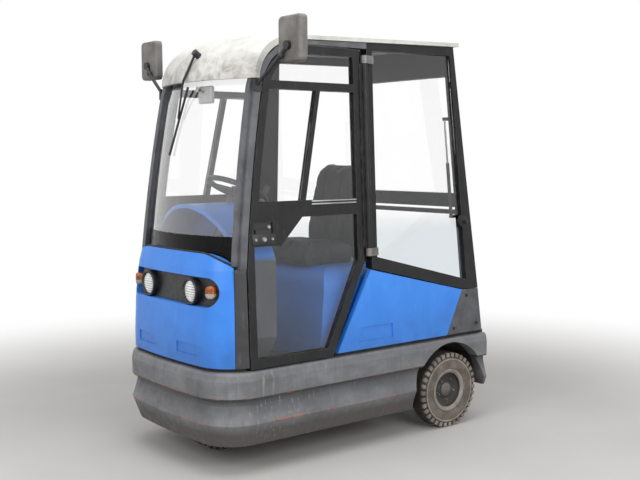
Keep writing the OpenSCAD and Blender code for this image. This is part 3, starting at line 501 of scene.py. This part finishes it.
def bothSides(mesh):
    copy = bmesh.ops.duplicate(mesh, geom=mesh.verts[:] + mesh.edges[:] + mesh.faces[:])
    mirrored = [item for item in copy["geom"] if isinstance(item, bmesh.types.BMVert)]
    bmesh.ops.transform(mesh, matrix=toRight, verts=mirrored)


# wheels: shoulder lugs, sidewalls with a raised line, nuts with a hub cap, and rim flanges

# line and flange shapes are steps across and out from their seat, the hub cap's are shares of its radius
wheel = {"radius": 0.2075, "half": 0.054, "track": 0.436, "base": 1.19,
         "lugs": 34, "lugTop": 0.2062, "lugFoot": 0.181, "lugReach": 0.023, "lugShare": 0.58, "lugIn": 0.0012,
         "line": 0.172, "lineIn": 0.0002,
         "lineShape": [(-0.003, -0.004), (-0.002, 0.001), (0.002, 0.001), (0.003, -0.004)],
         "nuts": 5, "nutRing": 0.061, "nutSize": 0.0095, "nutTall": 0.010, "nutSeat": 0.0160, "washer": 0.003,
         "cap": 0.037, "capSeat": 0.024,
         "capShape": [(0.0, 0.011), (0.55, 0.010), (0.85, 0.007), (1.0, 0.003), (1.0, -0.001), (0.0, -0.001)],
         "flange": 0.1045, "flangeIn": 0.015,
         "flangeShape": [(-0.010, -0.004), (-0.009, 0.004), (-0.003, 0.009), (0.008, 0.0125), (0.013, 0.011),
                         (0.013, 0.006)],
         "wall": [(0.119, 0.0470), (0.120, 0.0502), (0.132, 0.0527), (0.148, 0.0545), (0.166, 0.0540),
                  (0.179, 0.0529), (0.180, 0.0490)]}
wheelPlaces = {
    "left": ("left_wheel", Matrix.Translation((rearAxleX, wheel["track"], wheel["radius"]))),
    "right": ("right_wheel", toRight @ Matrix.Translation((rearAxleX, wheel["track"], wheel["radius"]))),
    "front": ("front_wheel", Matrix.Translation((rearAxleX + wheel["base"], 0.0, wheel["radius"]))),
}


def addWheel(name, body, centre):
    lugs = bmesh.new()
    tall = wheel["lugTop"] - wheel["lugFoot"]
    wide = math.tau * wheel["radius"] / wheel["lugs"] * wheel["lugShare"]
    out = wheel["half"] - wheel["lugIn"] - wheel["lugReach"] / 2
    for side in (-1, 1):
        for count in range(wheel["lugs"]):
            angle = math.tau * (count + 0.25 * side) / wheel["lugs"]
            seat = Matrix.Translation((0, side * out, wheel["lugFoot"] + tall / 2))
            place = centre @ Matrix.Rotation(angle, 4, "Y") @ seat
            block(lugs, place, (wide, wheel["lugReach"], tall), 0.003, 1)
    addPiece(name + "TreadLugs", lugs, "tread", body)
    line = bmesh.new()
    for side in (-1, 1):
        seat = side * (wheel["half"] - wheel["lineIn"])
        turned(line, centre @ faceOut, shifted(wheel["line"], seat, side, wheel["lineShape"]), 96)
    addPiece(name + "SidewallLine", line, "tyreLine", body)
    walls = bmesh.new()
    for side in (-1, 1):
        turned(walls, centre @ faceOut, shifted(0, 0, side, wheel["wall"]), 96)
    addPiece(name + "Sidewalls", walls, "sidewall", body)
    nuts = bmesh.new()
    ring = wheel["nutRing"]
    for count in range(wheel["nuts"]):
        angle = math.tau * (count + 0.3) / wheel["nuts"]
        spot = Matrix.Translation((ring * math.cos(angle), ring * math.sin(angle), wheel["nutSeat"]))
        place = centre @ faceOut @ spot
        headOf(nuts, place, wheel["nutSize"] * 1.35, wheel["washer"], 16, 0.0)
        onWasher = place @ Matrix.Translation((0, 0, wheel["washer"]))
        headOf(nuts, onWasher, wheel["nutSize"], wheel["nutTall"], 6, 0.004)
    turned(nuts, centre @ faceOut @ Matrix.Translation((0, 0, wheel["capSeat"])),
           [(wheel["cap"] * share, height) for share, height in wheel["capShape"]], 40)
    addPiece(name + "WheelNuts", nuts, "nut", body)
    flange = bmesh.new()
    for side in (-1, 1):
        seat = side * (wheel["half"] - wheel["flangeIn"])
        turned(flange, centre @ faceOut, shifted(wheel["flange"], seat, side, wheel["flangeShape"]), 96)
    addPiece(name + "RimFlange", flange, "flange", body)


for name, (body, centre) in wheelPlaces.items():
    addWheel(name, body, centre)
print("wheels dressed")


# headlamps: ribs on the glass and a rim round it

lamp = {"st": 1.474, "y": 0.203, "z": 0.862, "radius": 0.0508, "crown": 0.011,
        "ribs": 7, "ribSpan": 0.82, "ribThick": 0.0018, "ribDeep": 0.008, "rim": 0.0650,
        "rimShape": [(-0.0140, -0.003), (-0.0135, 0.003), (-0.009, 0.009), (-0.004, 0.010), (0, 0.006),
                     (0, -0.030), (-0.006, -0.034)]}


def addLampDetail():
    ribs = bmesh.new()
    rims = bmesh.new()
    for side in (-1, 1):
        centre = Matrix.Translation((rearAxleX + lamp["st"], side * lamp["y"], lamp["z"]))
        for count in range(lamp["ribs"]):
            height = lamp["radius"] * lamp["ribSpan"] * (2 * (count + 0.5) / lamp["ribs"] - 1)
            reach = math.sqrt(lamp["radius"] ** 2 - height ** 2) - 0.004
            crown = lamp["crown"] * (1 - (height / lamp["radius"]) ** 2)
            place = centre @ Matrix.Translation((crown - 0.003, 0, height))
            block(ribs, place, (lamp["ribDeep"], 2 * reach, lamp["ribThick"]), 0.0005, 1)
        outward = Matrix.Rotation(math.radians(90), 4, "Y")
        turned(rims, centre @ outward, shifted(lamp["rim"], 0, 1, lamp["rimShape"]), 64)
    addPiece("lampRibs", ribs, "rib", "chassis")
    addPiece("lampRims", rims, "lampBlack", "chassis")


# turn signals with round corners and a round crown

signal = {"st": 1.432, "y": 0.338, "z": 0.870, "turn": 32, "wide": 0.0496, "tall": 0.0616, "long": 0.040,
          "round": 0.021, "crown": 0.010}


def addSignals():
    signals = bmesh.new()
    place = (Matrix.Translation((rearAxleX + signal["st"], signal["y"], signal["z"]))
             @ Matrix.Rotation(math.radians(signal["turn"]), 4, "Z"))
    size = (signal["long"], signal["wide"], signal["tall"])
    bmesh.ops.create_cube(signals, size=1.0, matrix=place @ Matrix.Translation((signal["long"] / 2, 0, 0))
                          @ Matrix.Diagonal((*size, 1.0)))
    inside = place.inverted()
    along = [edge for edge in signals.edges
             if abs((inside @ edge.verts[0].co - inside @ edge.verts[1].co).x) > signal["long"] / 2]
    bmesh.ops.bevel(signals, geom=along, offset=signal["round"], affect="EDGES", segments=8, profile=0.5, material=-1)
    front = signal["long"] * 0.95
    crown = [edge for edge in signals.edges if all((inside @ vert.co).x > front for vert in edge.verts)]
    bmesh.ops.bevel(signals, geom=crown, offset=signal["crown"], affect="EDGES", segments=4, profile=0.5, material=-1)
    bothSides(signals)
    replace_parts(addPiece("signalLenses", signals, "amber", "chassis"), "turn_signals")


addLampDetail()
addSignals()
print("lamps dressed")


# rubber strip between the cowl's top edge and the windscreen

nose = {"bowX": 1.520 - 3.480, "bowR": 3.480, "cornerX": 1.2942, "cornerY": 0.291, "cornerR": 0.213, "bowTurn": 5.1}
cowlTop = {"crown": 1.045, "flat": 0.250, "roll": 0.292, "edge": 0.430, "strip": 0.006, "back": 0.008, "lift": 0.002,
           "line": [(0.880, 0.036), (0.970, 0.050), (1.030, 0.066), (1.060, 0.076)]}


def cowlDepth(height):
    for (low, first), (high, second) in zip(cowlTop["line"], cowlTop["line"][1:]):
        if height <= high:
            return first + (second - first) * (height - low) / (high - low)
    return cowlTop["line"][-1][1]


def nosePoint(y, inset):
    turn = math.degrees(math.asin(min(abs(y) / (nose["bowR"] - inset), 1)))
    if turn < nose["bowTurn"]:
        return nose["bowX"] + math.sqrt((nose["bowR"] - inset) ** 2 - y * y)
    return nose["cornerX"] + math.sqrt(max((nose["cornerR"] - inset) ** 2 - (abs(y) - nose["cornerY"]) ** 2, 0))


def tube(name, points, radius, material, body):
    curve = bpy.data.curves.new(name, "CURVE")
    curve.dimensions = "3D"
    curve.bevel_depth = radius
    curve.bevel_resolution = 3
    curve.use_fill_caps = True
    line = curve.splines.new("POLY")
    line.points.add(len(points) - 1)
    for knot, point in zip(line.points, points):
        knot.co = (*point, 1)
    holder = bpy.data.objects.new(name + "Path", curve)
    bpy.context.scene.collection.objects.link(holder)
    data = bpy.data.meshes.new_from_object(holder.evaluated_get(bpy.context.evaluated_depsgraph_get()))
    bpy.data.objects.remove(holder)
    mesh = bmesh.new()
    mesh.from_mesh(data)
    bmesh.ops.remove_doubles(mesh, verts=mesh.verts, dist=1e-6)
    return addPiece(name, mesh, material, body)


def addCowlStrip():
    points = []
    steps = 48
    for count in range(steps + 1):
        y = cowlTop["edge"] * (2 * count / steps - 1)
        past = max(abs(y) - cowlTop["flat"], 0)
        top = cowlTop["crown"] - cowlTop["roll"] + math.sqrt(cowlTop["roll"] ** 2 - past ** 2)
        station = nosePoint(y, cowlDepth(top) + cowlTop["back"])
        points.append((rearAxleX + station, y, top + cowlTop["lift"]))
    tube("cowlStrip", points, cowlTop["strip"], "rubber", "chassis")


addCowlStrip()
print("cowl strip laid")


# screws, belt strip and lock furniture on the cab

sideScrews = {"radius": 0.009, "height": 0.006,
              "corner": [(-0.035, 0.0, 0.548), (-0.215, 0.0, 0.560), (-0.140, 0.0, 0.722)]}
belt = {"from": 0.650, "to": 0.935, "z": 1.290, "drops": (0.006, 0.020), "tall": 0.007, "out": 0.001, "deep": 0.010}
lock = {"from": 1.160, "to": 1.292, "low": 1.088, "high": 1.140, "thick": 0.006, "sunk": 0.001, "screw": 0.007,
        "screwIn": 0.018, "barrel": 0.012, "stud": (0.030, -0.009, 1.172), "studSize": 0.010}


def addCabDetail(name, body, flip):
    screws = bmesh.new()
    for station, out, height in sideScrews["corner"]:
        place = flip @ onSide(station, out, height) @ faceOut
        headOf(screws, place, sideScrews["radius"], sideScrews["height"], 14, -0.003)
    addPiece(name + "CabScrews", screws, "black", "chassis")
    plate = bmesh.new()
    middle = (lock["from"] + lock["to"]) / 2
    height = (lock["low"] + lock["high"]) / 2
    block(plate, flip @ onSide(middle, lock["thick"] / 2 - lock["sunk"], height),
          (lock["to"] - lock["from"], lock["thick"], lock["high"] - lock["low"]), 0.0025)
    addPiece(name + "LockPlate", plate, "black", body)
    furniture = bmesh.new()
    face = lock["thick"] - lock["sunk"]
    for station in (lock["from"] + lock["screwIn"], lock["to"] - lock["screwIn"]):
        headOf(furniture, flip @ onSide(station, face, height) @ faceOut, lock["screw"], 0.004, 14, -0.002)
    headOf(furniture, flip @ onSide(middle, face, height) @ faceOut, lock["barrel"], 0.007, 24, -0.004)
    ahead, out, up = lock["stud"]
    headOf(furniture, flip @ onSide(lock["from"] + ahead, out, up) @ faceOut, lock["studSize"], 0.006, 18, -0.003)
    addPiece(name + "LockParts", furniture, "alloy", body)
    strip = bmesh.new()
    middle = (belt["from"] + belt["to"]) / 2
    for drop in belt["drops"]:
        block(strip, flip @ onSide(middle, belt["out"], belt["z"] - drop),
              (belt["to"] - belt["from"], belt["deep"], belt["tall"]), 0.002)
    addPiece(name + "BeltStrip", strip, "alloy", body)


# gas strut of the rear window, held by a stud at each end on the rear post

strut = {"top": (-0.062, 1.705), "foot": (-0.098, 1.165), "in": -0.064, "rod": 0.005, "case": 0.0095, "share": 0.55}


def addStrut(name, flip):
    top, foot = [(flip @ onSide(station, strut["in"], height)).to_translation()
                 for station, height in (strut["top"], strut["foot"])]
    joint = foot.lerp(top, strut["share"])
    tube(name + "StrutRod", [joint, top], strut["rod"], "pin", "chassis")
    tube(name + "StrutCase", [foot, joint], strut["case"], "black", "chassis")
    studs = bmesh.new()
    for station, height in (strut["top"], strut["foot"]):
        block(studs, flip @ onSide(station - 0.018, strut["in"] + 0.004, height), (0.062, 0.020, 0.018), 0.004)
    addPiece(name + "StrutStuds", studs, "steel", "chassis")


addStrut("left", Matrix.Identity(4))
addStrut("right", toRight)
addCabDetail("left", "left_door", Matrix.Identity(4))
addCabDetail("right", "right_door", toRight)
print("cab details set")


# mirror housings with round corners and a hollow for the glass

housing = {"st": 1.168, "thick": 0.042, "y": 0.650, "z": 2.030, "wide": 0.170, "tall": 0.210,
           "corner": 0.024, "soft": 0.013, "lip": 0.008, "hollow": 0.008}


def addHousings():
    mesh = bmesh.new()
    back = rearAxleX + housing["st"]
    place = Matrix.Translation((back + housing["thick"] / 2, housing["y"], housing["z"]))
    size = (housing["thick"], housing["wide"], housing["tall"])
    bmesh.ops.create_cube(mesh, size=1.0, matrix=place @ Matrix.Diagonal((*size, 1.0)))
    long = [edge for edge in mesh.edges if abs(edge.verts[0].co.x - edge.verts[1].co.x) > housing["thick"] / 2]
    bmesh.ops.bevel(mesh, geom=long, offset=housing["corner"], affect="EDGES", segments=6, profile=0.5, material=-1)
    front = [edge for edge in mesh.edges if all(vert.co.x > back + housing["thick"] - 1e-5 for vert in edge.verts)]
    bmesh.ops.bevel(mesh, geom=front, offset=housing["soft"], affect="EDGES", segments=4, profile=0.5, material=-1)
    rear = [face for face in mesh.faces if all(vert.co.x < back + 1e-5 for vert in face.verts)]
    bmesh.ops.inset_region(mesh, faces=rear, thickness=housing["lip"], depth=0.0, use_even_offset=True)
    pushed = bmesh.ops.extrude_face_region(mesh, geom=rear)
    moved = [item for item in pushed["geom"] if isinstance(item, bmesh.types.BMVert)]
    bmesh.ops.translate(mesh, verts=moved, vec=(housing["hollow"], 0, 0))
    bmesh.ops.delete(mesh, geom=[face for face in rear if face.is_valid], context="FACES_ONLY")
    bothSides(mesh)
    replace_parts(addPiece("mirrorHousings", mesh, "mirrorShell", "chassis"), "mirror_heads")


addHousings()
print("mirror housings made")


# inside mirror on a stalk from the windscreen

cabMirror = {"st": 1.268, "y": 0.047, "z": 1.805, "size": (0.026, 0.122, 0.086), "round": 0.011,
             "foot": (1.3215, 0.047, 1.832), "stalk": 0.006, "pad": 0.016}


def addCabMirror():
    mesh = bmesh.new()
    centre = Vector((rearAxleX + cabMirror["st"], cabMirror["y"], cabMirror["z"]))
    block(mesh, Matrix.Translation(centre), cabMirror["size"], cabMirror["round"], 4)
    foot = Vector(cabMirror["foot"]) + Vector((rearAxleX, 0, 0))
    inward = Matrix.Rotation(math.radians(-90), 4, "Y")
    headOf(mesh, Matrix.Translation(foot) @ inward, cabMirror["pad"], 0.006, 20, 0.0)
    addPiece("cabMirrorShell", mesh, "paleShell", "chassis")
    ends = [centre + Vector((0.008, 0, 0.012)), foot - Vector((0.004, 0, 0))]
    tube("cabMirrorStalk", ends, cabMirror["stalk"], "black", "chassis")


addCabMirror()
print("inside mirror hung")


# seat pads, swelled by air pressure inside the cover

pads = {"cushion": {"node": "seat_cushion", "voxel": 0.007, "shrink": 0.95, "cap": 0.022},
        "back": {"node": "seat_back", "voxel": 0.008, "shrink": 0.95, "cap": 0.024}}
air = {"pressure": 4.0, "frames": 20, "swellRoom": 0.012, "footRoom": 0.001}
pleats = {"pitch": 0.068, "deep": 0.010, "half": 0.150, "fade": 0.03, "facing": 0.35, "arch": 0.32, "narrow": 0.94}


def addPad(name, pad):
    mesh = bmesh.new()
    mesh.from_mesh(nodes[pad["node"]].data)
    bmesh.ops.remove_doubles(mesh, verts=mesh.verts, dist=1e-5)
    low, high = [Vector(corner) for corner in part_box(pad["node"])]
    middle = (low + high) / 2
    middle.z = low.z
    bmesh.ops.scale(mesh, vec=(pad["shrink"],) * 3, space=Matrix.Translation(-middle), verts=mesh.verts)
    data = bpy.data.meshes.new(name)
    mesh.to_mesh(data)
    mesh.free()
    pod = bpy.data.objects.new(name, data)
    bpy.context.scene.collection.objects.link(pod)
    remesh = pod.modifiers.new("remesh", "REMESH")
    remesh.mode = "VOXEL"
    remesh.voxel_size = pad["voxel"]
    graph = bpy.context.evaluated_depsgraph_get()
    pod.data = bpy.data.meshes.new_from_object(pod.evaluated_get(graph))
    pod.modifiers.clear()
    swell(pod, pad["cap"], low)
    soften(pod, low, high, name)
    pod.data.materials.clear()
    pod.data.materials.append(finish["seat"])
    pod.data.shade_smooth()
    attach(pod, "chassis")
    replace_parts(pod, pad["node"])


def swell(pod, cap, low):
    rest = [vert.co.copy() for vert in pod.data.vertices]
    cloth = pod.modifiers.new("air", "CLOTH")
    cloth.settings.use_pressure = True
    cloth.settings.uniform_pressure_force = air["pressure"]
    cloth.settings.effector_weights.gravity = 0.0
    cloth.settings.quality = 4
    for count in range(air["frames"]):
        bpy.context.scene.frame_set(count + 1)
    graph = bpy.context.evaluated_depsgraph_get()
    grown = bpy.data.meshes.new_from_object(pod.evaluated_get(graph))
    pod.modifiers.clear()
    bpy.context.scene.frame_set(1)
    for vert, start, moved in zip(pod.data.vertices, rest, grown.vertices):
        step = moved.co - start
        if step.length > cap:
            step *= cap / step.length
        vert.co = start + step
        vert.co.z = max(vert.co.z, low.z + air["footRoom"])


def soften(pod, low, high, name):
    mesh = bmesh.new()
    mesh.from_mesh(pod.data)
    for count in range(6):
        bmesh.ops.smooth_vert(mesh, verts=mesh.verts, factor=0.5, use_axis_x=True, use_axis_y=True, use_axis_z=True)
    if name == "back":
        shoulder = high.z - pleats["arch"]
        for vert in mesh.verts:
            climb = max(0.0, vert.co.z - shoulder) / pleats["arch"]
            vert.co.y *= math.sqrt(max(0.0, 1 - (pleats["narrow"] * climb) ** 2))
    mesh.normal_update()
    for vert in mesh.verts:
        facing = vert.normal.z if name == "cushion" else vert.normal.x
        if facing > pleats["facing"] and abs(vert.co.y) < pleats["half"]:
            phase = math.cos(math.tau * vert.co.y / pleats["pitch"])
            fade = min(1.0, (pleats["half"] - abs(vert.co.y)) / pleats["fade"])
            fade *= min(1.0, (facing - pleats["facing"]) / 0.3)
            vert.co -= vert.normal * pleats["deep"] * fade * max(0.0, phase) ** 4
    for vert in mesh.verts:
        vert.co.x = min(max(vert.co.x, low.x - air["swellRoom"]), high.x + air["swellRoom"])
        vert.co.z = max(vert.co.z, low.z + air["footRoom"])
    bmesh.ops.subdivide_edges(mesh, edges=mesh.edges, cuts=1, use_grid_fill=True, smooth=0.6)
    mesh.to_mesh(pod.data)
    mesh.free()


for name, pad in pads.items():
    addPad(name, pad)
print("seat padded")


# studio
studio = {"floor": ("b9b7b4", "c4c2bf"), "floorSize": 40.0, "ambient": 0.42, "white": 1.0, "fadeFrom": 1.6,
          "fadeTo": 4.5}


# 1 for rays that reach the camera straight, in a reflection or through glass
def seenRays(tree):
    path = tree.nodes.new("ShaderNodeLightPath")
    bent = sums(tree, "MAXIMUM", path.outputs["Is Glossy Ray"], path.outputs["Is Transmission Ray"])
    return sums(tree, "MAXIMUM", path.outputs["Is Camera Ray"], bent)


def setWorld():
    world = bpy.data.worlds.new("studio")
    world.use_nodes = True
    tree = world.node_tree
    back = tree.nodes["Background"]
    back.inputs["Color"].default_value = (1, 1, 1, 1)
    level = tree.nodes.new("ShaderNodeMapRange")
    level.inputs["To Min"].default_value = studio["ambient"]
    level.inputs["To Max"].default_value = studio["white"]
    tree.links.new(seenRays(tree), level.inputs["Value"])
    tree.links.new(level.outputs["Result"], back.inputs["Strength"])
    bpy.context.scene.world = world


def addFloor():
    mesh = bmesh.new()
    bmesh.ops.create_grid(mesh, x_segments=1, y_segments=1, size=studio["floorSize"] / 2)
    data = bpy.data.meshes.new("studioFloor")
    mesh.to_mesh(data)
    mesh.free()
    floor = bpy.data.objects.new("studioFloor", data)
    bpy.context.scene.collection.objects.link(floor)
    material, tree, shader = startFinish("floorPaint", 0.75)
    dark, light = studio["floor"]
    paint = ramp(tree, grain(tree, 0.8, detail=3), [(0.3, tone(dark)), (0.7, tone(light))])
    tree.links.new(paint, shader.inputs["Base Color"])
    coord = tree.nodes.new("ShaderNodeTexCoord")
    away = tree.nodes.new("ShaderNodeVectorMath")
    away.operation = "LENGTH"
    tree.links.new(coord.outputs["Object"], away.inputs[0])
    fade = tree.nodes.new("ShaderNodeMapRange")
    fade.interpolation_type = "SMOOTHSTEP"
    fade.inputs["From Min"].default_value = studio["fadeFrom"]
    fade.inputs["From Max"].default_value = studio["fadeTo"]
    tree.links.new(away.outputs["Value"], fade.inputs["Value"])
    glow = tree.nodes.new("ShaderNodeEmission")
    glow.inputs["Strength"].default_value = studio["white"]
    mixed = tree.nodes.new("ShaderNodeMixShader")
    tree.links.new(sums(tree, "MULTIPLY", fade.outputs["Result"], seenRays(tree)), mixed.inputs[0])
    tree.links.new(shader.outputs[0], mixed.inputs[1])
    tree.links.new(glow.outputs[0], mixed.inputs[2])
    tree.links.new(mixed.outputs[0], tree.nodes["Material Output"].inputs["Surface"])
    data.materials.append(material)


def softBox(name, place, target, size, power):
    data = bpy.data.lights.new(name, "AREA")
    data.shape = "RECTANGLE"
    data.size, data.size_y = size
    data.energy = power
    box = bpy.data.objects.new(name, data)
    aim = (Vector(target) - Vector(place)).to_track_quat("-Z", "Y")
    box.matrix_world = Matrix.Translation(place) @ aim.to_matrix().to_4x4()
    bpy.context.scene.collection.objects.link(box)


setWorld()
addFloor()
softBox("topBox", (0.4, 0.6, 4.6), (0, 0, 0.9), (4.0, 3.0), 110)
softBox("frontBox", (4.8, 1.2, 3.0), (0, 0, 1.0), (3.0, 2.4), 90)
softBox("sideBox", (0.6, 4.8, 2.6), (0, 0, 0.9), (3.0, 2.2), 115)
print("studio set")

bpy.context.scene.view_settings.view_transform = "Standard"
